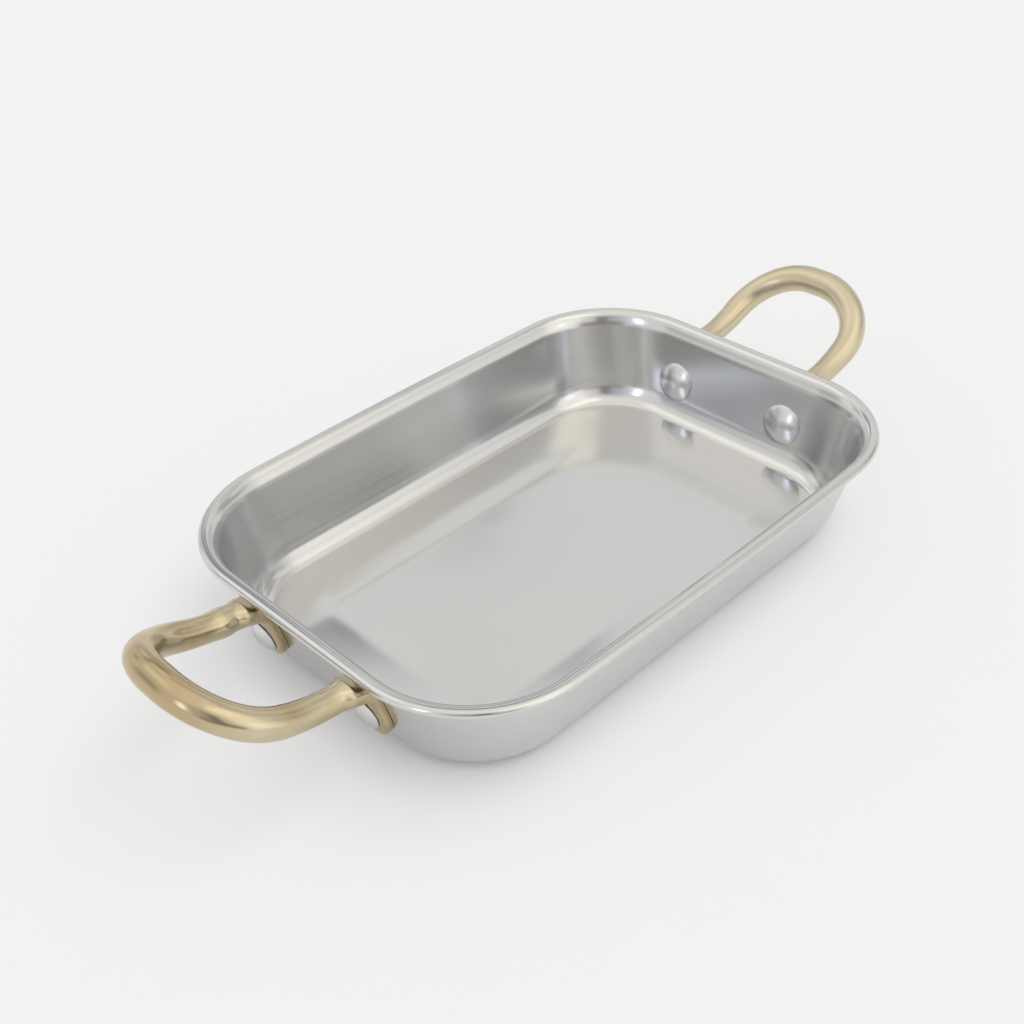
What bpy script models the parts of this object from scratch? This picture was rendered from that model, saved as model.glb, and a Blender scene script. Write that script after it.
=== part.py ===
"""Small rectangular baking dish: one drawn steel pan with a curled rim and two riveted cast brass handles.

Metres, +Z up. The origin is under the middle of the floor, on the surface that the dish stands on.
X runs along the dish from handle to handle, Y across it.
"""
import math

import bmesh
import bpy
from mathutils import Matrix, Vector

# Pan, outside sizes
RIM_LENGTH = 0.160          # over the curled rim, end to end
RIM_WIDTH = 0.1101          # over the curled rim where the long sides leave the corners
SIDE_CROWN = 0.0014         # how far each long side bows out at the rim, at the middle of its length
RIM_CORNER_RADIUS = 0.0298  # plan radius of the rim's outer edge
PAN_DEPTH = 0.028           # from the surface that the pan stands on to the top of the flange

# Pan, sheet and section
SHEET = 0.0008              # thickness of the drawn steel sheet
WALL_DRAFT = math.radians(10.2)
COVE_RADIUS = 0.0082        # inside radius where the walls turn into the floor
CORNER_FULLNESS = 0.0027    # how much the plan radius of the corners grows down the wall
ROLL_RADIUS = 0.00095       # the bend from the wall out into the flange, on its upper face
FLANGE_WIDTH = 0.0018       # flat of the flange between the roll and the curl
CURL_RADIUS = 0.0011        # outside radius of the curled edge
CURL_RISE = 0.0001          # how far the curl stands above the flange
CURL_END = math.radians(330)  # where the cut edge stops, from the curl's inner side round over its top

# Handles
HANDLE_REACH = 0.0312       # from the rim's end to the middle of the grip bar
BEND_CLEARANCE = 0.0014     # air between the curled rim and the bends that pass under it
GRIP_RISE = 0.0134          # how far the middle of the grip bar stands above the legs
BAR_RADIUS = 0.0031         # half the thickness of the legs at their roots
SHOULDER_RADIUS = 0.0035    # half the thickness where the legs bend into the grip bar
GRIP_RADIUS = 0.0038        # half the thickness of the grip bar
GRIP_CORNER_RADIUS = 0.0168  # bend between the legs and the grip bar, at the middle of the bar
FOOT_RADIUS = 0.0055        # round end of a foot, about its rivet
FOOT_THICKNESS = 0.0018
FOOT_EDGE = 0.0004          # how much thinner a foot is at its rounded end
BEND_RADIUS = 0.0046        # bend from the foot out under the rim, at the middle of the bar
BEND_HALF_WIDTH = 0.0047    # half the width where the foot starts to bend
ROOT_HALF_WIDTH = 0.0041    # half the width where the bend meets the leg
KNUCKLE_STEP = 0.0013       # how far the leg's blunt end stands above the bend
KNUCKLE_LENGTH = 0.0003     # along the leg, from the bend to the leg's full height
KNUCKLE_TAPER = 0.003       # length over which the leg's blunt end draws in to the bar
FOOT_SQUARENESS = 5         # power of the foot's section: 2 is an ellipse, a high power is a rectangle
ROOT_SQUARENESS = 2.5
BAR_SQUARENESS = 2

# Rivets
RIVET_SPACING = 0.0370      # between the two rivets of a handle
RIVET_BELOW_LEG = 0.0098    # from the middle of the legs down to the rivets
RIVET_HEAD_RADIUS = 0.0058
RIVET_HEAD_HEIGHT = 0.0021
RIVET_TAIL_RADIUS = 0.0041
RIVET_TAIL_HEIGHT = 0.0019
RIVET_EDGE = 0.0004         # straight edge of the head and of the tail under their domes
SHANK_RADIUS = 0.0025

# Clearances between pieces that seat on or in each other
SEAT_GAP = 0.0003
HOLE_CLEARANCE = 0.0003

# Facets
CORNER_STEPS = 12           # along each plan corner of the pan
LONG_SIDE_STEPS = 8         # along each bowed long side
COVE_STEPS = 6
ROLL_STEPS = 3
CURL_STEPS = 9
SECTION_SIDES = 14          # round the bar of a handle
FOOT_STEPS = 6
NECK_STEPS = 3
BEND_STEPS = 7
TAPER_STEPS = 3
SWEEP_STEPS = 6
GRIP_CORNER_STEPS = 10
TURNED_SIDES = 28           # round each rivet
DOME_STEPS = 4
SHARP_ANGLE = math.radians(35)

# The pan's section, worked out as inset from the rim's outer edge and height
half_length = RIM_LENGTH / 2
half_width = RIM_WIDTH / 2
flange_top = PAN_DEPTH
curl_height = flange_top + CURL_RISE - CURL_RADIUS
# the flange runs into the curl where the curl's circle comes up through the flange's level
crease_angle = math.asin((flange_top - curl_height) / CURL_RADIUS)
crease_inset = CURL_RADIUS * (1 + math.cos(crease_angle))
roll_inset = crease_inset + FLANGE_WIDTH
wall_top_inset = roll_inset + ROLL_RADIUS * math.cos(WALL_DRAFT)
wall_top_height = flange_top - ROLL_RADIUS * (1 - math.sin(WALL_DRAFT))
wall_foot_height = SHEET + COVE_RADIUS * (1 - math.sin(WALL_DRAFT))
wall_foot_inset = wall_top_inset + (wall_top_height - wall_foot_height) * math.tan(WALL_DRAFT)
floor_inset = wall_foot_inset + COVE_RADIUS * math.cos(WALL_DRAFT)

# Levels of the handles, from the curl down
bend_top = curl_height - CURL_RADIUS - BEND_CLEARANCE
leg_height = bend_top + KNUCKLE_STEP - BAR_RADIUS
rivet_height = leg_height - RIVET_BELOW_LEG
leg_y = RIVET_SPACING / 2
# Directions on the +X end wall: out of the pan, and up along the wall
wall_out = Vector((math.cos(WALL_DRAFT), 0, -math.sin(WALL_DRAFT)))
wall_up = Vector((math.sin(WALL_DRAFT), 0, math.cos(WALL_DRAFT)))


def clear_scene():
    for item in list(bpy.data.objects):
        bpy.data.objects.remove(item, do_unlink=True)


def make_material(name, colour, metallic, roughness):
    material = bpy.data.materials.new(name)
    material.use_nodes = True
    shader = material.node_tree.nodes["Principled BSDF"]
    shader.inputs["Base Color"].default_value = (*colour, 1)
    shader.inputs["Metallic"].default_value = metallic
    shader.inputs["Roughness"].default_value = roughness
    return material


def finish_mesh(name, bm, material=None):
    mesh = bpy.data.meshes.new(name)
    bm.to_mesh(mesh)
    bm.free()
    if material is not None:
        mesh.materials.append(material)
    mesh.shade_smooth()
    mesh.set_sharp_from_angle(angle=SHARP_ANGLE)
    return mesh


def make_object(name, mesh):
    item = bpy.data.objects.new(name, mesh)
    bpy.context.scene.collection.objects.link(item)
    return item


def cut_with(item, cutter):
    """Take the cutter's shape out of the object, and leave the cutter as a hidden guide."""
    cutter.display_type = "WIRE"
    cutter.hide_render = True
    boolean = item.modifiers.new("cut " + cutter.name, "BOOLEAN")
    boolean.object = cutter
    boolean.operation = "DIFFERENCE"
    boolean.solver = "EXACT"


def loft(rings):
    """A skin over closed rings of equal count, and the edge loops of its first and last ring."""
    bm = bmesh.new()
    verts = [bm.verts.new(point) for point in rings[0]]
    first = [bm.edges.new(pair) for pair in zip(verts, verts[1:] + verts[:1])]
    edges = first
    for ring in rings[1:]:
        grown = bmesh.ops.extrude_edge_only(bm, edges=edges)["geom"]
        # each new point lies on the old one that it grew from, until it is moved to the next ring
        twins = {part.co.to_tuple(): part for part in grown if isinstance(part, bmesh.types.BMVert)}
        verts = [twins[vert.co.to_tuple()] for vert in verts]
        edges = [bm.edges.get(pair) for pair in zip(verts, verts[1:] + verts[:1])]
        for vert, point in zip(verts, ring):
            vert.co = point
    return bm, first, edges


def pan_ring(inset, height):
    """The pan's plan outline, drawn in from the rim's outer edge: four corner arcs and bowed long sides."""
    down_wall = (inset - wall_top_inset) / (wall_foot_inset - wall_top_inset)
    down_wall = min(max(down_wall, 0), 1)
    # towards the floor the corners grow fuller and the long sides run straight
    radius = RIM_CORNER_RADIUS - inset + CORNER_FULLNESS * down_wall
    crown = SIDE_CROWN * (1 - down_wall)
    half_x, half_y = half_length - inset, half_width - inset
    outline = []
    for quarter, (side_x, side_y) in enumerate(((1, 1), (-1, 1), (-1, -1), (1, -1))):
        for step in range(CORNER_STEPS + 1):
            angle = math.pi / 2 * (quarter + step / CORNER_STEPS)
            outline.append((side_x * (half_x - radius) + radius * math.cos(angle),
                            side_y * (half_y - radius) + radius * math.sin(angle)))
        if side_x == side_y:
            # a long side follows this corner
            for step in range(1, LONG_SIDE_STEPS):
                outline.append((side_x * (half_x - radius) * (1 - 2 * step / LONG_SIDE_STEPS),
                                side_y * half_y))
    return [Vector((x, y + math.copysign(crown * (1 - (x / half_x) ** 2), y), height)) for x, y in outline]


def pan_section():
    """Inset and height along the pan's upper face, from the edge of the floor to the curl's cut edge."""
    section = []
    for step in range(COVE_STEPS + 1):
        angle = (math.pi / 2 - WALL_DRAFT) * step / COVE_STEPS
        section.append((floor_inset - COVE_RADIUS * math.sin(angle),
                        SHEET + COVE_RADIUS * (1 - math.cos(angle))))
    for step in range(ROLL_STEPS + 1):
        angle = WALL_DRAFT + (math.pi / 2 - WALL_DRAFT) * step / ROLL_STEPS
        section.append((roll_inset + ROLL_RADIUS * math.cos(angle),
                        flange_top - ROLL_RADIUS * (1 - math.sin(angle))))
    for step in range(CURL_STEPS + 1):
        angle = crease_angle + (CURL_END - crease_angle) * step / CURL_STEPS
        section.append((CURL_RADIUS * (1 + math.cos(angle)),
                        curl_height + CURL_RADIUS * math.sin(angle)))
    return section


def make_pan(material):
    bm, floor_edge, _ = loft([pan_ring(inset, height) for inset, height in pan_section()])
    floor = bmesh.ops.edgeloop_fill(bm, edges=floor_edge)["faces"][0]
    bmesh.ops.recalc_face_normals(bm, faces=bm.faces)
    # this skin is the pan's upper face, so the floor looks up and the sheet's thickness goes behind it
    floor.normal_update()
    if floor.normal.z < 0:
        bmesh.ops.reverse_faces(bm, faces=bm.faces)
    pan = make_object("pan_body", finish_mesh("pan_body", bm, material))
    sheet = pan.modifiers.new("sheet", "SOLIDIFY")
    sheet.thickness = SHEET
    sheet.offset = -1
    sheet.use_even_offset = True
    return pan


def on_end_wall(height, outward):
    """A point on the outer face of the +X end wall at a height, moved straight out of it."""
    inset = wall_top_inset + (wall_top_height - height) * math.tan(WALL_DRAFT)
    return Vector((half_length - inset, 0, height)) + wall_out * (SHEET + outward)


def rivet_frame(side, y):
    """Frame on the outer face of an end wall, with its Z axis pointing out of the pan."""
    tilt = wall_out.to_track_quat("Z", "Y").to_matrix().to_4x4()
    half_turn = Matrix.Rotation(math.pi if side < 0 else 0, 4, "Z")
    return Matrix.Translation((0, y, 0)) @ half_turn @ Matrix.Translation(on_end_wall(rivet_height, 0)) @ tilt


def dome(radius, height):
    """Radius and height along a low dome on a short straight edge, from its rim to its top."""
    rise = height - RIVET_EDGE
    sphere = (radius ** 2 + rise ** 2) / (2 * rise)
    spread = math.asin(radius / sphere)
    points = []
    for step in range(DOME_STEPS + 1):
        angle = spread * (1 - step / DOME_STEPS)
        points.append((sphere * math.sin(angle), height - sphere * (1 - math.cos(angle))))
    return points


def make_rivet_mesh(material):
    """One solid rivet along Z: head inside the pan, shank through wall and foot, domed tail outside."""
    head_seat = -(SHEET + SEAT_GAP)
    tail_seat = FOOT_THICKNESS + 2 * SEAT_GAP
    profile = [(r, tail_seat + h) for r, h in reversed(dome(RIVET_TAIL_RADIUS, RIVET_TAIL_HEIGHT))]
    profile += [(RIVET_TAIL_RADIUS, tail_seat), (SHANK_RADIUS, tail_seat)]
    profile += [(SHANK_RADIUS, head_seat), (RIVET_HEAD_RADIUS, head_seat)]
    profile += [(r, head_seat - h) for r, h in dome(RIVET_HEAD_RADIUS, RIVET_HEAD_HEIGHT)]
    bm = bmesh.new()
    verts = [bm.verts.new((r, 0, h)) for r, h in profile]
    edges = [bm.edges.new(pair) for pair in zip(verts, verts[1:])]
    bmesh.ops.spin(bm, geom=verts + edges, cent=(0, 0, 0), axis=(0, 0, 1), angle=2 * math.pi,
                   steps=TURNED_SIDES, use_merge=True)
    # the spin leaves a copy of each pole's point per step
    bmesh.ops.remove_doubles(bm, verts=bm.verts, dist=RIVET_EDGE / 100)
    bmesh.ops.recalc_face_normals(bm, faces=bm.faces)
    return finish_mesh("rivet", bm, material)


def make_hole_mesh():
    bm = bmesh.new()
    radius = SHANK_RADIUS + HOLE_CLEARANCE
    reach = SHEET + 2 * SEAT_GAP + FOOT_THICKNESS
    bmesh.ops.create_cone(bm, cap_ends=True, segments=TURNED_SIDES, radius1=radius, radius2=radius,
                          depth=4 * reach)
    return finish_mesh("rivet hole", bm)


def ease(share):
    return share * share * (3 - 2 * share)


def between(start, end, share):
    return start + (end - start) * share


class Station:
    """One section of the handle's bar: its middle, its directions and its sizes from the middle out."""

    def __init__(self, middle, heading, slope, half_width, above, below, squareness):
        self.middle = middle
        along = Vector((math.cos(slope), 0, math.sin(slope)))
        # heading turns the bar in plan from straight out of the pan to straight across it
        self.across = along * math.sin(heading) + Vector((0, 1, 0)) * math.cos(heading)
        self.upward = Vector((-math.sin(slope), 0, math.cos(slope)))
        self.half_width = half_width
        self.above = above
        self.below = below
        self.power = 2 / squareness

    def ring(self, side):
        """The section's outline, on the bar's +Y half or, for side -1, on its mirror image."""
        points = []
        for step in range(SECTION_SIDES):
            angle = 2 * math.pi * step / SECTION_SIDES
            c, s = math.cos(angle), math.sin(angle)
            height = self.above if s > 0 else self.below
            point = (self.middle + self.across * math.copysign(abs(c) ** self.power, c) * self.half_width
                     + self.upward * math.copysign(abs(s) ** self.power, s) * height)
            points.append(Vector((point.x, point.y * side, point.z)))
        return points


def foot_and_bend():
    """Sections from the tip of the +Y foot up the wall and out under the rim, to where the leg starts."""
    foot_half = FOOT_THICKNESS / 2
    rivet = on_end_wall(rivet_height, SEAT_GAP + foot_half) + Vector((0, leg_y, 0))
    foot_slope = math.pi / 2 - WALL_DRAFT

    # foot: a round end about the rivet, a little thinner at its tip
    stations = []
    for step in range(1, FOOT_STEPS + 1):
        angle = math.pi / 2 * step / FOOT_STEPS
        half_height = foot_half - (FOOT_EDGE if step == 1 else 0)
        stations.append(Station(rivet - wall_up * FOOT_RADIUS * math.cos(angle), 0, foot_slope,
                                FOOT_RADIUS * math.sin(angle), half_height, half_height, FOOT_SQUARENESS))

    # neck: the foot draws in a little, up to where the bend starts
    bend_start_height = leg_height - BEND_RADIUS * (1 - math.cos(foot_slope))
    neck = wall_up * (bend_start_height - rivet.z) / math.cos(WALL_DRAFT)
    for step in range(1, NECK_STEPS + 1):
        share = step / NECK_STEPS
        stations.append(Station(rivet + neck * share, 0, foot_slope,
                                between(FOOT_RADIUS, BEND_HALF_WIDTH, ease(share)),
                                foot_half, foot_half, FOOT_SQUARENESS))

    # bend: the flat foot turns out under the rim, fills out to the bar below and stays lower above
    for step in range(1, BEND_STEPS + 1):
        share = step / BEND_STEPS
        slope = foot_slope * (1 - share)
        middle = rivet + neck + BEND_RADIUS * Vector((math.sin(foot_slope) - math.sin(slope), 0,
                                                      math.cos(slope) - math.cos(foot_slope)))
        stations.append(Station(middle, 0, slope, between(BEND_HALF_WIDTH, ROOT_HALF_WIDTH, ease(share)),
                                between(foot_half, BAR_RADIUS - KNUCKLE_STEP, ease(share)),
                                between(foot_half, BAR_RADIUS, ease(share)),
                                between(FOOT_SQUARENESS, ROOT_SQUARENESS, ease(share))))
    return stations


def leg_and_grip(start_x):
    """Sections of a flat U over an arc that sweeps up from the leg's blunt end, to the middle of the grip."""
    run = half_length + HANDLE_REACH - start_x
    sweep_radius = (run ** 2 + GRIP_RISE ** 2) / (2 * GRIP_RISE)
    run_along = sweep_radius * 2 * math.atan(GRIP_RISE / run)
    leg_length = run_along - GRIP_CORNER_RADIUS

    def on_sweep(along, y, heading, half_width, half_height):
        slope = along / sweep_radius
        middle = Vector((start_x + sweep_radius * math.sin(slope), y,
                         leg_height + sweep_radius * (1 - math.cos(slope))))
        return Station(middle, heading, slope, half_width, half_height, half_height, BAR_SQUARENESS)

    def leg_radius(along):
        return between(BAR_RADIUS, SHOULDER_RADIUS, (along / leg_length) ** 2)

    stations = []
    for step in range(TAPER_STEPS):
        share = step / TAPER_STEPS
        along = KNUCKLE_TAPER * share
        stations.append(on_sweep(along, leg_y, 0, between(ROOT_HALF_WIDTH, BAR_RADIUS, ease(share)),
                                 leg_radius(along)))
    for step in range(SWEEP_STEPS + 1):
        along = between(KNUCKLE_TAPER, leg_length, step / SWEEP_STEPS)
        stations.append(on_sweep(along, leg_y, 0, leg_radius(along), leg_radius(along)))
    for step in range(1, GRIP_CORNER_STEPS + 1):
        share = step / GRIP_CORNER_STEPS
        angle = math.pi / 2 * share
        radius = between(SHOULDER_RADIUS, GRIP_RADIUS, share)
        stations.append(on_sweep(leg_length + GRIP_CORNER_RADIUS * math.sin(angle),
                                 leg_y - GRIP_CORNER_RADIUS * (1 - math.cos(angle)), angle, radius, radius))
    stations.append(on_sweep(run_along, 0, math.pi / 2, GRIP_RADIUS, GRIP_RADIUS))
    return stations


def make_handle_mesh(material):
    stations = foot_and_bend()
    stations += leg_and_grip(stations[-1].middle.x + KNUCKLE_LENGTH)
    rings = [station.ring(1) for station in stations]
    # past the middle of the grip the bar mirrors itself, back to its other foot
    rings += [station.ring(-1) for station in reversed(stations[:-1])]
    bm, first, last = loft(rings)
    for end in (first, last):
        bmesh.ops.edgeloop_fill(bm, edges=end)
    bmesh.ops.recalc_face_normals(bm, faces=bm.faces)
    return finish_mesh("handle", bm, material)


def main():
    clear_scene()
    steel = make_material("satin steel", (0.62, 0.62, 0.61), 1.0, 0.28)
    polished = make_material("polished steel", (0.66, 0.66, 0.67), 1.0, 0.18)
    brass = make_material("cast brass", (0.62, 0.47, 0.24), 1.0, 0.30)

    pan = make_pan(steel)
    handle_mesh = make_handle_mesh(brass)
    rivet_mesh = make_rivet_mesh(polished)
    hole_mesh = make_hole_mesh()
    for side, side_name in ((1, "right"), (-1, "left")):
        handle = make_object("handle_" + side_name, handle_mesh)
        handle.rotation_euler.z = 0 if side > 0 else math.pi
        for y, y_name in ((-leg_y, "front"), (leg_y, "back")):
            rivet = make_object("rivet_" + side_name + "_" + y_name, rivet_mesh)
            rivet.matrix_world = rivet_frame(side, y)
            hole = make_object("hole_" + side_name + "_" + y_name, hole_mesh)
            hole.matrix_world = rivet_frame(side, y)
            cut_with(pan, hole)
            cut_with(handle, hole)


main()
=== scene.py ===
import math

import bmesh
import bpy
from mathutils import Matrix, Vector


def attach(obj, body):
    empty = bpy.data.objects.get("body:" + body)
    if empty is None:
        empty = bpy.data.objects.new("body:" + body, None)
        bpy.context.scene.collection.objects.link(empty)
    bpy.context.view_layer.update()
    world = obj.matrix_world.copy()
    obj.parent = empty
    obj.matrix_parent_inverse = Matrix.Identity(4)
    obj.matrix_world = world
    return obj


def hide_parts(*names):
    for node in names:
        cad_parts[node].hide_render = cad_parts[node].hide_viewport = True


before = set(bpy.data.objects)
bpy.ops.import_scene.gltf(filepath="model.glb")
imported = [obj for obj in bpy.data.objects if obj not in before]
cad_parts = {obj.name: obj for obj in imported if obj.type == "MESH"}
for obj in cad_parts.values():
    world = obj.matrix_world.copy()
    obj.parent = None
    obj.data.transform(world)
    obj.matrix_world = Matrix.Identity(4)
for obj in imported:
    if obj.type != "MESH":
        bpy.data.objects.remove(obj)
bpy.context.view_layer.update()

# Small rectangular baking dish: drawn satin steel pan, two polished cast brass handles, four steel rivets.
# Metres, +Z up, +X towards the far handle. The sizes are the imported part's own.
scene = bpy.context.scene


def linear(hexColour):
    values = [int(hexColour[i:i + 2], 16) / 255 for i in (1, 3, 5)]
    return tuple(v / 12.92 if v <= 0.04045 else ((v + 0.055) / 1.055) ** 2.4 for v in values) + (1,)


def addNode(tree, kind, inputs=None, **settings):
    # inputs 0, 6 and 7 of a Mix node for colours are its factor and its two colours
    node = tree.nodes.new(kind)
    for name, value in settings.items():
        setattr(node, name, value)
    for socket, value in (inputs or {}).items():
        if isinstance(value, bpy.types.NodeSocket):
            tree.links.new(value, node.inputs[socket])
        else:
            node.inputs[socket].default_value = value
    return node


def newMaterial(name):
    material = bpy.data.materials.new(name)
    material.use_nodes = True
    tree = material.node_tree
    tree.nodes.clear()
    return material, tree


def ease(share):
    return share * share * (3 - 2 * share)


def between(start, end, share):
    return start + (end - start) * share


def loft(rings):
    # a circle laid on the first ring, then extruded from ring to ring
    bm = bmesh.new()
    verts = bmesh.ops.create_circle(bm, segments=len(rings[0]))["verts"]
    edges = [bm.edges.get(pair) for pair in zip(verts, verts[1:] + verts[:1])]
    for vert, point in zip(verts, rings[0]):
        vert.co = point
    first = edges
    for ring in rings[1:]:
        grown = bmesh.ops.extrude_edge_only(bm, edges=edges)["geom"]
        twins = {part.co.to_tuple(): part for part in grown if isinstance(part, bmesh.types.BMVert)}
        verts = [twins[vert.co.to_tuple()] for vert in verts]
        edges = [bm.edges.get(pair) for pair in zip(verts, verts[1:] + verts[:1])]
        for vert, point in zip(verts, ring):
            vert.co = point
    return bm, first, edges


def addPiece(name, bm, material, replaced, sharpAngle):
    mesh = bpy.data.meshes.new(name)
    bm.to_mesh(mesh)
    bm.free()
    mesh.materials.append(material)
    mesh.shade_smooth()
    mesh.set_sharp_from_angle(angle=math.radians(sharpAngle))
    piece = bpy.data.objects.new(name, mesh)
    scene.collection.objects.link(piece)
    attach(piece, "root")
    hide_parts(replaced)
    return piece


def satinSteel():
    # 18/10 stainless sheet, drawn and satin polished: soft mirror with a faint grain along the walls
    look = {"colour": "#DADADA", "wallRoughness": 0.20, "floorRoughness": 0.12, "grain": 0.02,
            "lines": (25, 25, 1400), "wave": 0.00012, "waveScale": 40}
    material, tree = newMaterial("satinStainlessSteel")
    place = addNode(tree, "ShaderNodeTexCoord").outputs["Object"]
    # polishing lines lie level round the walls; real ones are 0.1 mm apart, drawn at about 0.7 mm to show
    drawnOut = addNode(tree, "ShaderNodeMapping", {"Vector": place, "Scale": look["lines"]}).outputs["Vector"]
    lines = addNode(tree, "ShaderNodeTexNoise", {"Vector": drawnOut, "Scale": 1, "Detail": 3}).outputs["Fac"]
    grain = addNode(tree, "ShaderNodeMapRange",
                    {"Value": lines, "From Min": 0.25, "From Max": 0.75, "To Min": -look["grain"],
                     "To Max": look["grain"]}).outputs["Result"]
    # the press draws the walls out, which leaves them duller than the floor and the flange
    facing = addNode(tree, "ShaderNodeNewGeometry").outputs["Normal"]
    upward = addNode(tree, "ShaderNodeSeparateXYZ", {"Vector": facing}).outputs["Z"]
    flatness = addNode(tree, "ShaderNodeMath", {0: upward}, operation="ABSOLUTE").outputs[0]
    pressed = addNode(tree, "ShaderNodeMapRange",
                      {"Value": flatness, "From Min": 0.25, "From Max": 0.95, "To Min": look["wallRoughness"],
                       "To Max": look["floorRoughness"]}).outputs["Result"]
    rough = addNode(tree, "ShaderNodeMath", {0: pressed, 1: grain}, operation="ADD").outputs[0]
    # slow waves that the press leaves in the sheet, about 25 mm long
    wave = addNode(tree, "ShaderNodeTexNoise", {"Vector": place, "Scale": look["waveScale"],
                                                "Detail": 1}).outputs["Fac"]
    bump = addNode(tree, "ShaderNodeBump", {"Height": wave, "Strength": 1, "Distance": look["wave"]})
    shader = addNode(tree, "ShaderNodeBsdfPrincipled",
                     {"Base Color": linear(look["colour"]), "Metallic": 1, "Roughness": rough,
                      "Normal": bump.outputs["Normal"]})
    addNode(tree, "ShaderNodeOutputMaterial", {"Surface": shader.outputs["BSDF"]})
    return material


def tumbledSteel():
    # upset and tumbled stainless rivets: softer and more uneven than the pan, with small dents 2 mm wide
    look = {"colour": "#DCDCDC", "roughness": 0.24, "uneven": 0.05, "dent": 0.00005, "dentScale": 500}
    material, tree = newMaterial("tumbledRivetSteel")
    place = addNode(tree, "ShaderNodeTexCoord").outputs["Object"]
    wear = addNode(tree, "ShaderNodeTexNoise", {"Vector": place, "Scale": look["dentScale"],
                                                "Detail": 3}).outputs["Fac"]
    rough = addNode(tree, "ShaderNodeMapRange",
                    {"Value": wear, "To Min": look["roughness"] - look["uneven"],
                     "To Max": look["roughness"] + look["uneven"]}).outputs["Result"]
    bump = addNode(tree, "ShaderNodeBump", {"Height": wear, "Strength": 1, "Distance": look["dent"]})
    shader = addNode(tree, "ShaderNodeBsdfPrincipled",
                     {"Base Color": linear(look["colour"]), "Metallic": 1, "Roughness": rough,
                      "Normal": bump.outputs["Normal"]})
    addNode(tree, "ShaderNodeOutputMaterial", {"Surface": shader.outputs["BSDF"]})
    return material


def castBrass():
    # sand cast yellow brass, belt polished: pale satin gold over a slightly uneven casting
    # the browner colour is that of wear patches and also of painted shade on the left handle
    look = {"bright": "#D8CDB3", "wornAndShaded": "#BDA67E", "roughHeld": 0.19, "roughUnheld": 0.29,
            "shadeAndWearLeft": 0.8, "shadeAndWearRight": 0.15, "halfSpan": 0.08, "patchScale": 50,
            "skin": 0.00012, "skinScale": 160}
    material, tree = newMaterial("polishedCastBrass")
    place = addNode(tree, "ShaderNodeTexCoord").outputs["Object"]
    skin = addNode(tree, "ShaderNodeTexNoise", {"Vector": place, "Scale": look["skinScale"],
                                                "Detail": 2}).outputs["Fac"]
    bump = addNode(tree, "ShaderNodeBump", {"Height": skin, "Strength": 1, "Distance": look["skin"]})
    # handling leaves duller, browner patches about 20 mm long, and over the left handle they are laid on far
    # more strongly as painted shade, which makes that handle darker and browner than the right one
    patches = addNode(tree, "ShaderNodeTexNoise", {"Vector": place, "Scale": look["patchScale"],
                                                   "Detail": 4}).outputs["Fac"]
    wornAndShaded = addNode(tree, "ShaderNodeMapRange",
                   {"Value": patches, "From Min": 0.34, "From Max": 0.60}).outputs["Result"]
    along = addNode(tree, "ShaderNodeSeparateXYZ", {"Vector": place}).outputs["X"]
    span = {"Value": along, "From Min": -look["halfSpan"], "From Max": look["halfSpan"]}
    # painted shade: the share of the browner colour rises from the right handle to the left one
    shadeAndWearAlong = addNode(tree, "ShaderNodeMapRange",
                   {**span, "To Min": look["shadeAndWearLeft"], "To Max": look["shadeAndWearRight"]}).outputs["Result"]
    share = addNode(tree, "ShaderNodeMath", {0: wornAndShaded, 1: shadeAndWearAlong}, operation="MULTIPLY").outputs[0]
    satin = addNode(tree, "ShaderNodeMapRange",
                    {**span, "To Min": look["roughHeld"], "To Max": look["roughUnheld"]}).outputs["Result"]
    uneven = addNode(tree, "ShaderNodeMapRange",
                     {"Value": skin, "To Min": -0.04, "To Max": 0.05}).outputs["Result"]
    rough = addNode(tree, "ShaderNodeMath", {0: satin, 1: uneven}, operation="ADD").outputs[0]
    colour = addNode(tree, "ShaderNodeMix", {0: share, 6: linear(look["bright"]), 7: linear(look["wornAndShaded"])},
                     data_type="RGBA").outputs[2]
    shader = addNode(tree, "ShaderNodeBsdfPrincipled",
                     {"Base Color": colour, "Metallic": 1, "Roughness": rough,
                      "Normal": bump.outputs["Normal"]})
    addNode(tree, "ShaderNodeOutputMaterial", {"Surface": shader.outputs["BSDF"]})
    return material


panSteel = satinSteel()
rivetSteel = tumbledSteel()
handleBrass = castBrass()
print("materials made")


# The pan is one drawn sheet with a rolled flange and a curled edge
pan = {
    "length": 0.160, "width": 0.1101, "crown": 0.0014, "cornerRadius": 0.0298, "depth": 0.028,
    "sheet": 0.0008, "draft": math.radians(10.2), "fullness": 0.0027,
    # cove and roll are arcs of ellipses: half sizes across and up, so that both straighten towards the wall
    "cove": (0.0060, 0.0090), "roll": (0.0034, 0.0070),
    # the floor bends up a little before it reaches the cove, as a pressed one does
    "edgeWidth": 0.0155, "edgeSlope": math.radians(4.5), "edgeBlend": 0.003,
    "flange": 0.00035, "curl": 0.0011, "curlRise": 0.00005, "curlEnd": math.radians(330),
    "cornerSteps": 26, "longSteps": 24, "endSteps": 6, "edgeSteps": 12, "coveSteps": 16, "wallSteps": 4,
    "rollSteps": 18, "curlSteps": 20, "sharpAngle": 20,
    "leastCorner": 0.004,  # plan radius that the innermost ring of the floor keeps
}
halfLength, halfWidth = pan["length"] / 2, pan["width"] / 2
curlHeight = pan["depth"] + pan["curlRise"] - pan["curl"]
creaseAngle = math.asin((pan["depth"] - curlHeight) / pan["curl"])
rollInset = pan["curl"] * (1 + math.cos(creaseAngle)) + pan["flange"]
rollAcross, rollUp = pan["roll"]
rollEnd = math.atan(rollUp / rollAcross * math.tan(pan["draft"]))
wallTop = (rollInset + rollAcross * math.cos(rollEnd), pan["depth"] - rollUp * (1 - math.sin(rollEnd)))
coveAcross, coveUp = pan["cove"]
coveFirst = math.atan(math.tan(pan["edgeSlope"]) * coveAcross / coveUp)
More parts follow.
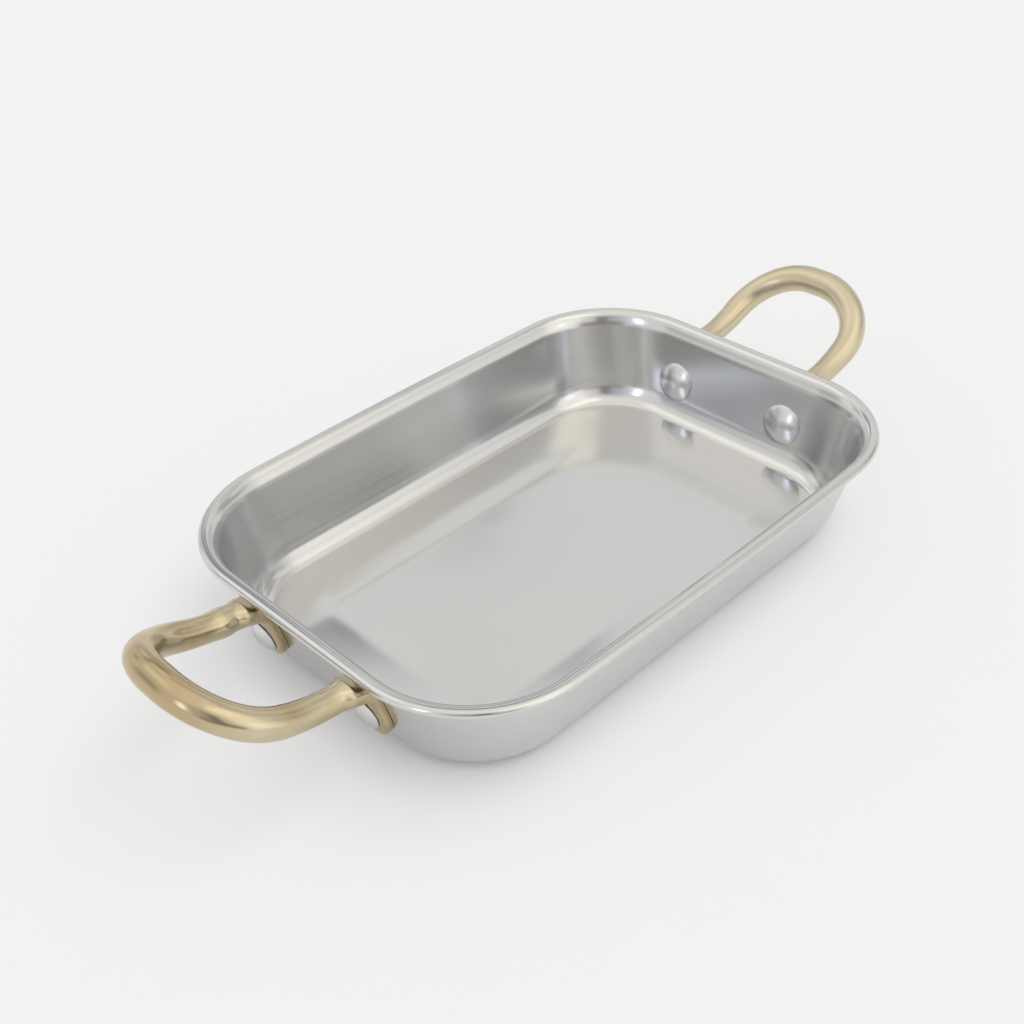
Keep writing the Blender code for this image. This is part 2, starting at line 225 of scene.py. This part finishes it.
coveLast = math.atan(coveAcross / coveUp / math.tan(pan["draft"]))
edgeRise = math.tan(pan["edgeSlope"]) * (pan["edgeWidth"] - pan["edgeBlend"] / 2)
coveBase = pan["sheet"] + edgeRise - coveUp * (1 - math.cos(coveFirst))
wallFootHeight = coveBase + coveUp * (1 - math.cos(coveLast))
wallFoot = (wallTop[0] + (wallTop[1] - wallFootHeight) * math.tan(pan["draft"]), wallFootHeight)
coveInset = wallFoot[0] + coveAcross * math.sin(coveLast)


def panRing(inset, height):
    # the rim's plan drawn in by inset: four corner arcs, bowed long sides, straight ends
    downWall = min(max((inset - wallTop[0]) / (wallFoot[0] - wallTop[0]), 0), 1)
    radius = max(pan["cornerRadius"] - inset + pan["fullness"] * downWall, pan["leastCorner"])
    bow = pan["crown"] * (1 - downWall)
    halfX, halfY = halfLength - inset, halfWidth - inset
    outline = []
    for quarter, (sideX, sideY) in enumerate(((1, 1), (-1, 1), (-1, -1), (1, -1))):
        for step in range(pan["cornerSteps"] + 1):
            angle = math.pi / 2 * (quarter + step / pan["cornerSteps"])
            outline.append((sideX * (halfX - radius) + radius * math.cos(angle),
                            sideY * (halfY - radius) + radius * math.sin(angle)))
        along = sideX == sideY
        steps = pan["longSteps"] if along else pan["endSteps"]
        for step in range(1, steps):
            share = 1 - 2 * step / steps
            if along:
                outline.append((sideX * (halfX - radius) * share, sideY * halfY))
            else:
                outline.append((sideX * halfX, sideY * (halfY - radius) * share))
    return [Vector((x, y + math.copysign(bow * (1 - (x / halfX) ** 2), y), height)) for x, y in outline]


def panSection():
    # inset and height along the upper face, from the flat of the floor to the curl's cut edge
    coveStart = coveInset - coveAcross * math.sin(coveFirst)
    section = []
    for step in range(pan["edgeSteps"]):
        along = pan["edgeWidth"] * (step / pan["edgeSteps"]) ** 2
        blended = min(along, pan["edgeBlend"])
        rise = math.tan(pan["edgeSlope"]) * (along - blended + blended ** 2 / (2 * pan["edgeBlend"]))
        section.append((coveStart + pan["edgeWidth"] - along, pan["sheet"] + rise))
    for step in range(pan["coveSteps"] + 1):
        angle = between(coveFirst, coveLast, step / pan["coveSteps"])
        section.append((coveInset - coveAcross * math.sin(angle), coveBase + coveUp * (1 - math.cos(angle))))
    for step in range(1, pan["wallSteps"]):
        share = step / pan["wallSteps"]
        section.append((between(wallFoot[0], wallTop[0], share), between(wallFoot[1], wallTop[1], share)))
    for step in range(pan["rollSteps"] + 1):
        angle = between(rollEnd, math.pi / 2, step / pan["rollSteps"])
        section.append((rollInset + rollAcross * math.cos(angle),
                        pan["depth"] - rollUp * (1 - math.sin(angle))))
    for step in range(pan["curlSteps"] + 1):
        angle = between(creaseAngle, pan["curlEnd"], step / pan["curlSteps"])
        section.append((pan["curl"] * (1 + math.cos(angle)), curlHeight + pan["curl"] * math.sin(angle)))
    return section


def makePan():
    bm, floorEdge, _ = loft([panRing(inset, height) for inset, height in panSection()])
    floor = bmesh.ops.edgeloop_fill(bm, edges=floorEdge)["faces"][0]
    bmesh.ops.recalc_face_normals(bm, faces=bm.faces)
    floor.normal_update()
    if floor.normal.z < 0:
        bmesh.ops.reverse_faces(bm, faces=bm.faces)
    piece = addPiece("drawnPan", bm, panSteel, "pan_body", pan["sharpAngle"])
    sheet = piece.modifiers.new("sheet", "SOLIDIFY")
    sheet.thickness = pan["sheet"]
    sheet.offset = -1
    sheet.use_even_offset = True
    return piece


makePan()
print("pan made")


# Rivets and handles share the end wall's frame
rivet = {
    "spacing": 0.0370, "belowLeg": 0.0098, "shank": 0.0025, "turns": 64,
    # a head or tail: radius, slope where its dome meets the rounded edge, radius of that edge, and its seat
    "head": (0.0058, math.radians(32), 0.0007, 0.00082), "tail": (0.0041, math.radians(40), 0.0003, 0.00212),
    "domeSteps": 10, "edgeSteps": 6, "mergeDistance": 0.000002, "sharpAngle": 35,
    # each was set by hand: how far it sits towards +Y and up the wall from its place in the drawing
    "set": {"rightFront": (0.0012, -0.0001), "rightBack": (0.0014, -0.0011),
            "leftFront": (0, 0.0003), "leftBack": (0, -0.0005)},
}
handle = {
    "bendClearance": 0.0014, "bar": 0.0031, "shoulder": 0.0035, "grip": 0.0038,
    "gripCorner": 0.0168, "foot": 0.0055, "footFace": 0.0020, "footEdge": 0.0004, "footSeat": -0.00005,
    "bend": 0.0046, "bendHalf": 0.0047, "root": 0.0041, "knuckleStep": 0.0013, "knuckleLength": 0.0003,
    "knuckleTaper": 0.003,
    # power of the bar's section: 2 is an ellipse, a high power is a rectangle
    "footSquareness": 5, "backSquareness": 14, "rootSquareness": 2.5, "barSquareness": 2,
    "sides": 36, "footSteps": 16, "neckSteps": 6, "bendSteps": 16, "knuckleSteps": 6, "taperSteps": 6,
    "sweepSteps": 14, "cornerSteps": 26, "sharpAngle": 40,
    # castings never come out quite alike: how far the grip reaches and rises, how far the handle leans
    # towards +Y at its feet and at its grip, and how much its second leg swells near the rim
    "own": {"right": (0.0311, 0.0133, -0.0006, -0.0005, 0),
            "left": (0.0303, 0.0116, -0.0009, -0.0002, 0.0004)},
    "swellAt": 0.005, "swellLength": 0.0025, "leanPower": 1.3,
}
legHeight = curlHeight - pan["curl"] - handle["bendClearance"] + handle["knuckleStep"] - handle["bar"]
rivetHeight = legHeight - rivet["belowLeg"]
legY = rivet["spacing"] / 2
wallOut = Vector((math.cos(pan["draft"]), 0, -math.sin(pan["draft"])))
wallUp = Vector((math.sin(pan["draft"]), 0, math.cos(pan["draft"])))


def onEndWall(height, outward):
    inset = wallTop[0] + (wallTop[1] - height) * math.tan(pan["draft"])
    return Vector((halfLength - inset, 0, height)) + wallOut * (pan["sheet"] + outward)


def domeProfile(radius, slope, edge, seat):
    # radius and height along a low dome from its seat over its rounded edge to its top
    points = []
    for step in range(rivet["edgeSteps"] + 1):
        angle = between(math.pi / 2, slope, step / rivet["edgeSteps"])
        points.append((radius - edge * (1 - math.sin(angle)), seat + edge * math.cos(angle)))
    sphere = points[-1][0] / math.sin(slope)
    base = points[-1][1] - sphere * math.cos(slope)
    for step in range(1, rivet["domeSteps"] + 1):
        angle = slope * (1 - step / rivet["domeSteps"])
        points.append((sphere * math.sin(angle), base + sphere * math.cos(angle)))
    return points


def makeRivet(name, node, side, y):
    acrossWall, upWall = rivet["set"][name]
    head, tail = domeProfile(*rivet["head"]), domeProfile(*rivet["tail"])
    profile = tail[::-1] + [(rivet["shank"], rivet["tail"][3]), (rivet["shank"], -rivet["head"][3])]
    profile += [(radius, -height) for radius, height in head]
    bm = bmesh.new()
    verts = [bm.verts.new((radius, 0, height)) for radius, height in profile]
    edges = [bm.edges.new(pair) for pair in zip(verts, verts[1:])]
    bmesh.ops.spin(bm, geom=verts + edges, cent=(0, 0, 0), axis=(0, 0, 1), angle=2 * math.pi,
                   steps=rivet["turns"], use_merge=True)
    bmesh.ops.remove_doubles(bm, verts=bm.verts, dist=rivet["mergeDistance"])
    bmesh.ops.recalc_face_normals(bm, faces=bm.faces)
    onWall = Matrix.Translation(onEndWall(rivetHeight, 0) + wallUp * upWall)
    place = onWall @ wallOut.to_track_quat("Z", "Y").to_matrix().to_4x4()
    halfTurn = Matrix.Rotation(math.pi if side < 0 else 0, 4, "Z")
    place = Matrix.Translation((0, y + acrossWall, 0)) @ halfTurn @ place
    bmesh.ops.transform(bm, matrix=place, verts=bm.verts)
    return addPiece(name + "Rivet", bm, rivetSteel, node, rivet["sharpAngle"])


def barRing(middle, heading, slope, halfAcross, above, below, squareness, backSquareness, side):
    # above is the side that faces the wall on a foot and the sky on a leg
    along = Vector((math.cos(slope), 0, math.sin(slope)))
    across = along * math.sin(heading) + Vector((0, 1, 0)) * math.cos(heading)
    upward = Vector((-math.sin(slope), 0, math.cos(slope)))
    ring = []
    for step in range(handle["sides"]):
        angle = 2 * math.pi * step / handle["sides"]
        c, s = math.cos(angle), math.sin(angle)
        power = 2 / (backSquareness if s > 0 else squareness)
        point = (middle + across * math.copysign(abs(c) ** power, c) * halfAcross
                 + upward * math.copysign(abs(s) ** power, s) * (above if s > 0 else below))
        ring.append(Vector((point.x, point.y * side, point.z)))
    return ring


def footAndBend():
    # sections from the tip of the +Y foot up the wall and out under the rim, to the leg's blunt end
    footHalf = (handle["footFace"] - handle["footSeat"]) / 2
    pin = onEndWall(rivetHeight, handle["footSeat"] + footHalf) + Vector((0, legY, 0))
    footSlope = math.pi / 2 - pan["draft"]
    square, backSquare = handle["footSquareness"], handle["backSquareness"]
    rootSquare, barSquare = handle["rootSquareness"], handle["barSquareness"]
    stations = []
    for step in range(1, handle["footSteps"] + 1):
        angle = math.pi / 2 * step / handle["footSteps"]
        half = footHalf - handle["footEdge"] * (1 - math.sin(angle)) ** 2
        stations.append((pin - wallUp * handle["foot"] * math.cos(angle), 0, footSlope,
                         handle["foot"] * math.sin(angle), footHalf, half, square, backSquare))
    bendStart = legHeight - handle["bend"] * (1 - math.cos(footSlope))
    neck = wallUp * (bendStart - pin.z) / math.cos(pan["draft"])
    for step in range(1, handle["neckSteps"] + 1):
        share = step / handle["neckSteps"]
        half = between(handle["foot"], handle["bendHalf"], ease(share))
        stations.append((pin + neck * share, 0, footSlope, half, footHalf, footHalf, square, backSquare))
    low = handle["bar"] - handle["knuckleStep"]
    for step in range(1, handle["bendSteps"] + 1):
        share = step / handle["bendSteps"]
        slope = footSlope * (1 - share)
        middle = pin + neck + handle["bend"] * Vector((math.sin(footSlope) - math.sin(slope), 0,
                                                       math.cos(slope) - math.cos(footSlope)))
        stations.append((middle, 0, slope, between(handle["bendHalf"], handle["root"], ease(share)),
                         between(footHalf, low, ease(share)), between(footHalf, handle["bar"], ease(share)),
                         between(square, rootSquare, ease(share)),
                         between(backSquare, rootSquare, ease(share))))
    # the leg's blunt end rises from the bend with a rounded upper edge
    root = stations[-1][0]
    for step in range(1, handle["knuckleSteps"]):
        share = step / handle["knuckleSteps"]
        grown = math.sqrt(1 - (1 - share) ** 2)
        squareness = between(rootSquare, barSquare, share)
        stations.append((root + Vector((handle["knuckleLength"] * share, 0, 0)), 0, 0, handle["root"],
                         between(low, handle["bar"], grown), handle["bar"], squareness, squareness))
    return stations


def legAndGrip(startX, reach, rise, swell):
    # sections of a flat U over an arc that sweeps up from the leg's blunt end, up to the grip's middle
    run = halfLength + reach - startX
    sweepRadius = (run ** 2 + rise ** 2) / (2 * rise)
    runAlong = sweepRadius * 2 * math.atan(rise / run)
    legLength = runAlong - handle["gripCorner"]

    def onSweep(along, y, heading, halfAcross, halfThick):
        slope = along / sweepRadius
        middle = Vector((startX + sweepRadius * math.sin(slope), y,
                         legHeight + sweepRadius * (1 - math.cos(slope))))
        square = handle["barSquareness"]
        return middle, heading, slope, halfAcross, halfThick, halfThick, square, square

    def legRadius(along):
        bulge = swell * math.exp(-((along - handle["swellAt"]) / handle["swellLength"]) ** 2)
        return between(handle["bar"], handle["shoulder"], (along / legLength) ** 2) + bulge

    stations = []
    for step in range(handle["taperSteps"]):
        share = step / handle["taperSteps"]
        radius = legRadius(handle["knuckleTaper"] * share)
        extra = (handle["root"] - handle["bar"]) * (1 - ease(share))
        stations.append(onSweep(handle["knuckleTaper"] * share, legY, 0, radius + extra, radius))
    for step in range(handle["sweepSteps"] + 1):
        along = between(handle["knuckleTaper"], legLength, step / handle["sweepSteps"])
        stations.append(onSweep(along, legY, 0, legRadius(along), legRadius(along)))
    for step in range(1, handle["cornerSteps"] + 1):
        share = step / handle["cornerSteps"]
        angle = math.pi / 2 * share
        radius = between(handle["shoulder"], handle["grip"], share)
        stations.append(onSweep(legLength + handle["gripCorner"] * math.sin(angle),
                                legY - handle["gripCorner"] * (1 - math.cos(angle)), angle, radius, radius))
    stations.append(onSweep(runAlong, 0, math.pi / 2, handle["grip"], handle["grip"]))
    return stations


def makeHandle(name, node, side):
    reach, rise, atFeet, atGrip, swell = handle["own"][name]
    start = footAndBend()
    startX = start[-1][0].x + handle["knuckleLength"] / handle["knuckleSteps"]
    # the left handle is turned half round, so the leg made second is its back one and has the swell
    rings = [barRing(*station, 1) for station in start + legAndGrip(startX, reach, rise, 0)]
    secondHalf = start + legAndGrip(startX, reach, rise, swell)[:-1]
    rings += [barRing(*station, -1) for station in reversed(secondHalf)]
    bm, first, last = loft(rings)
    for end in (first, last):
        bmesh.ops.edgeloop_fill(bm, edges=end)
    bmesh.ops.recalc_face_normals(bm, faces=bm.faces)
    if side < 0:
        bmesh.ops.rotate(bm, verts=bm.verts, cent=(0, 0, 0), matrix=Matrix.Rotation(math.pi, 3, "Z"))
    for vert in bm.verts:
        out = min(max((abs(vert.co.x) - halfLength) / reach, 0), 1)
        vert.co.y += between(atFeet, atGrip, out ** handle["leanPower"])
    return addPiece(name + "CastHandle", bm, handleBrass, node, handle["sharpAngle"])


for side, sideName in ((1, "right"), (-1, "left")):
    makeHandle(sideName, "handle_" + sideName, side)
    for y, yName in ((-legY, "front"), (legY, "back")):
        makeRivet(sideName + yName.capitalize(), "rivet_" + sideName + "_" + yName, side, y)
print("handles and rivets made")


# Floor, light and camera
stageLook = {
    "background": "#F2F2F2", "glowSeen": 0.5, "glowInMetal": 0.12,
    "low": (0.84, 0.84, 0.825), "high": (0.98, 0.95, 0.88), "change": (38, 60),
    # soft cards round the dish: compass angle from +X, height, half width, half height and soft edge, all
    # in degrees, and the colour of their light
    "cards": [
        (-80, 28, 22, 32, 10, (1.2, 1.17, 1.06)),
        (-66, 46, 22, 8, 6, (1.16, 1.13, 1.03)),
        (-75, 62, 40, 9, 8, (1.4, 1.34, 1.18)),
        (-80, 22, 6, 7, 3, (1.45, 1.5, 1.5)),
        (-38, 22, 6, 12, 5, (0.64, 0.62, 0.58)),
        (-20, 16, 14, 7, 4, (0.48, 0.47, 0.45)),
        (6, 50, 25, 9, 6, (0.68, 0.66, 0.61)),
        (42, 51, 20, 5.5, 2, (0.72, 0.69, 0.62)),
        (-8, 28, 12, 8, 5, (0.52, 0.50, 0.46)),
        (-158, 30, 10, 12, 6, (0.76, 0.79, 0.87)),
        (-140, 25, 16, 24, 14, (0.52, 0.53, 0.54)),
        (-130, 6, 26, 10, 5, (0.36, 0.33, 0.30)),
        (-130, 24, 7, 16, 4, (0.27, 0.24, 0.26)),
        (-175, 24, 4.5, 12, 2.5, (2.2, 2.35, 2.7)),
        (122, 56, 26, 8, 6, (1.18, 1.15, 1.07)),
        (44, 16, 30, 10, 6, (0.64, 0.63, 0.61)),
        (61, 31.8, 13.5, 4.5, 1, (0.30, 0.30, 0.33)),
        (105, 45, 14, 5, 4, (1.2, 1.2, 1.15)),
        (64, 22, 6, 7, 3, (1.0, 0.98, 0.94)),
        (66, 45, 5, 5, 2, (1.15, 1.15, 1.12)),
        (92, 22, 6, 6, 3, (0.56, 0.55, 0.56)),
        (107, 21, 7, 5, 2, (1.0, 0.95, 0.86)),
        (135, 17, 14, 10, 6, (0.54, 0.53, 0.50)),
    ],
    # the floor itself is lit by one wide card high up on the near right side, so the dish keeps its shadow
    "floorLow": (0.65, 0.655, 0.66), "floorHigh": (0.65, 0.65, 0.65),
    "floorCards": [(-60, 65, 65, 18, 8, (2.84, 2.82, 2.79))],
    # metres: half the floor's side, and how far from a wall's foot the painted contact shadow under it
    # reaches
    "floorHalf": 4, "paintedShadowReach": 0.012,
    "glossyBounces": 8,
}
photoView = {
    # degrees and metres: the photograph's own view, from the near left and 36 degrees above the table
    "azimuth": -42.88, "elevation": 36.44, "roll": -3.05, "target": (-0.01904, -0.00590, 0.028),
    "distance": 0.30483, "sensor": 36, "lens": 45.67465, "clip": (0.01, 20),
}


def makeFloor():
    # the camera sees a pale sweep that keeps part of the dish's shadow, the metal a duller one, and all other
    # light meets a plain floor
    material, tree = newMaterial("paleStudioFloor")
    ray = addNode(tree, "ShaderNodeLightPath").outputs
    pale = linear(stageLook["background"])
    inMetal = addNode(tree, "ShaderNodeMath", {0: ray["Is Glossy Ray"], 1: stageLook["glowInMetal"]},
                      operation="MULTIPLY").outputs[0]
    # close under the dish the glow fades with ambient occlusion, a painted contact shadow where a wall meets
    # the table, laid over the floor's own shadow
    clear = addNode(tree, "ShaderNodeAmbientOcclusion", {"Distance": stageLook["paintedShadowReach"]}).outputs["AO"]
    seen = addNode(tree, "ShaderNodeMath", {0: clear, 1: stageLook["glowSeen"]},
                   operation="MULTIPLY").outputs[0]
    share = addNode(tree, "ShaderNodeMath", {0: ray["Is Camera Ray"], 1: seen, 2: inMetal},
                    operation="MULTIPLY_ADD").outputs[0]
    plain = addNode(tree, "ShaderNodeBsdfDiffuse", {"Color": pale})
    glow = addNode(tree, "ShaderNodeEmission", {"Color": pale})
    mix = addNode(tree, "ShaderNodeMixShader",
                  {0: share, 1: plain.outputs["BSDF"], 2: glow.outputs["Emission"]})
    addNode(tree, "ShaderNodeOutputMaterial", {"Surface": mix.outputs["Shader"]})
    bm = bmesh.new()
    bmesh.ops.create_grid(bm, x_segments=1, y_segments=1, size=stageLook["floorHalf"])
    mesh = bpy.data.meshes.new("studioFloor")
    bm.to_mesh(mesh)
    bm.free()
    mesh.materials.append(material)
    floor = bpy.data.objects.new("studioFloor", mesh)
    scene.collection.objects.link(floor)


def cardLight(tree, compass, height, low, high, cards):
    # the colour that each direction sends: a wall of light from low to high, with the cards laid over it
    start, end = (math.radians(angle) for angle in stageLook["change"])
    rise = addNode(tree, "ShaderNodeMapRange", {"Value": height, "From Min": start, "From Max": end},
                   interpolation_type="SMOOTHSTEP").outputs["Result"]
    light = addNode(tree, "ShaderNodeMix", {0: rise, 6: low + (1,), 7: high + (1,)},
                    data_type="RGBA").outputs[2]
    for side, up, halfWide, halfHigh, soft, colour in cards:
        turn = addNode(tree, "ShaderNodeMath", {0: compass, 1: math.radians(side)}, operation="SUBTRACT")
        turn = addNode(tree, "ShaderNodeMath", {0: turn.outputs[0], 1: math.pi, 2: -math.pi},
                       operation="WRAP")
        lift = addNode(tree, "ShaderNodeMath", {0: height, 1: math.radians(up)}, operation="SUBTRACT")
        edges = []
        for offset, half in ((turn, halfWide), (lift, halfHigh)):
            away = addNode(tree, "ShaderNodeMath", {0: offset.outputs[0]}, operation="ABSOLUTE").outputs[0]
            edges.append(addNode(tree, "ShaderNodeMapRange",
                                 {"Value": away, "From Min": math.radians(half + soft),
                                  "From Max": math.radians(half - soft)},
                                 interpolation_type="SMOOTHSTEP").outputs["Result"])
        card = addNode(tree, "ShaderNodeMath", {0: edges[0], 1: edges[1]}, operation="MULTIPLY").outputs[0]
        light = addNode(tree, "ShaderNodeMix", {0: card, 6: light, 7: colour + (1,)},
                        data_type="RGBA").outputs[2]
    return light


def makeWorld():
    world = bpy.data.worlds.new("softStudio")
    world.use_nodes = True
    tree = world.node_tree
    tree.nodes.clear()
    toward = addNode(tree, "ShaderNodeTexCoord").outputs["Generated"]
    parts = addNode(tree, "ShaderNodeSeparateXYZ", {"Vector": toward}).outputs
    compass = addNode(tree, "ShaderNodeMath", {0: parts["Y"], 1: parts["X"]}, operation="ARCTAN2").outputs[0]
    height = addNode(tree, "ShaderNodeMath", {0: parts["Z"]}, operation="ARCSINE").outputs[0]
    onMetal = cardLight(tree, compass, height, stageLook["low"], stageLook["high"], stageLook["cards"])
    onFloor = cardLight(tree, compass, height, stageLook["floorLow"], stageLook["floorHigh"],
                        stageLook["floorCards"])
    ray = addNode(tree, "ShaderNodeLightPath").outputs
    light = addNode(tree, "ShaderNodeMix", {0: ray["Is Diffuse Ray"], 6: onMetal, 7: onFloor},
                    data_type="RGBA").outputs[2]
    shown = addNode(tree, "ShaderNodeMix",
                    {0: ray["Is Camera Ray"], 6: light, 7: linear(stageLook["background"])},
                    data_type="RGBA").outputs[2]
    lamp = addNode(tree, "ShaderNodeBackground", {"Color": shown})
    addNode(tree, "ShaderNodeOutputWorld", {"Surface": lamp.outputs["Background"]})
    scene.world = world


def makeCamera():
    azimuth, elevation, roll = (math.radians(photoView[angle]) for angle in ("azimuth", "elevation", "roll"))
    back = Vector((math.sin(azimuth) * math.cos(elevation), -math.cos(azimuth) * math.cos(elevation),
                   math.sin(elevation)))
    right = Vector((0, 0, 1)).cross(back).normalized()
    up = back.cross(right)
    turnedRight = right * math.cos(roll) + up * math.sin(roll)
    turnedUp = up * math.cos(roll) - right * math.sin(roll)
    data = bpy.data.cameras.new("photoCamera")
    data.sensor_width = photoView["sensor"]
    data.lens = photoView["lens"]
    data.clip_start, data.clip_end = photoView["clip"]
    camera = bpy.data.objects.new("photoCamera", data)
    scene.collection.objects.link(camera)
    turn = Matrix((turnedRight, turnedUp, back)).transposed()
    stand = Vector(photoView["target"]) + back * photoView["distance"]
    camera.matrix_world = Matrix.Translation(stand) @ turn.to_4x4()
    scene.camera = camera


makeFloor()
makeWorld()
makeCamera()
scene.view_settings.view_transform = "Standard"
# light runs round the pan's steep corners in many reflections, and would be lost after the usual four
scene.cycles.glossy_bounces = stageLook["glossyBounces"]
print("stage made")
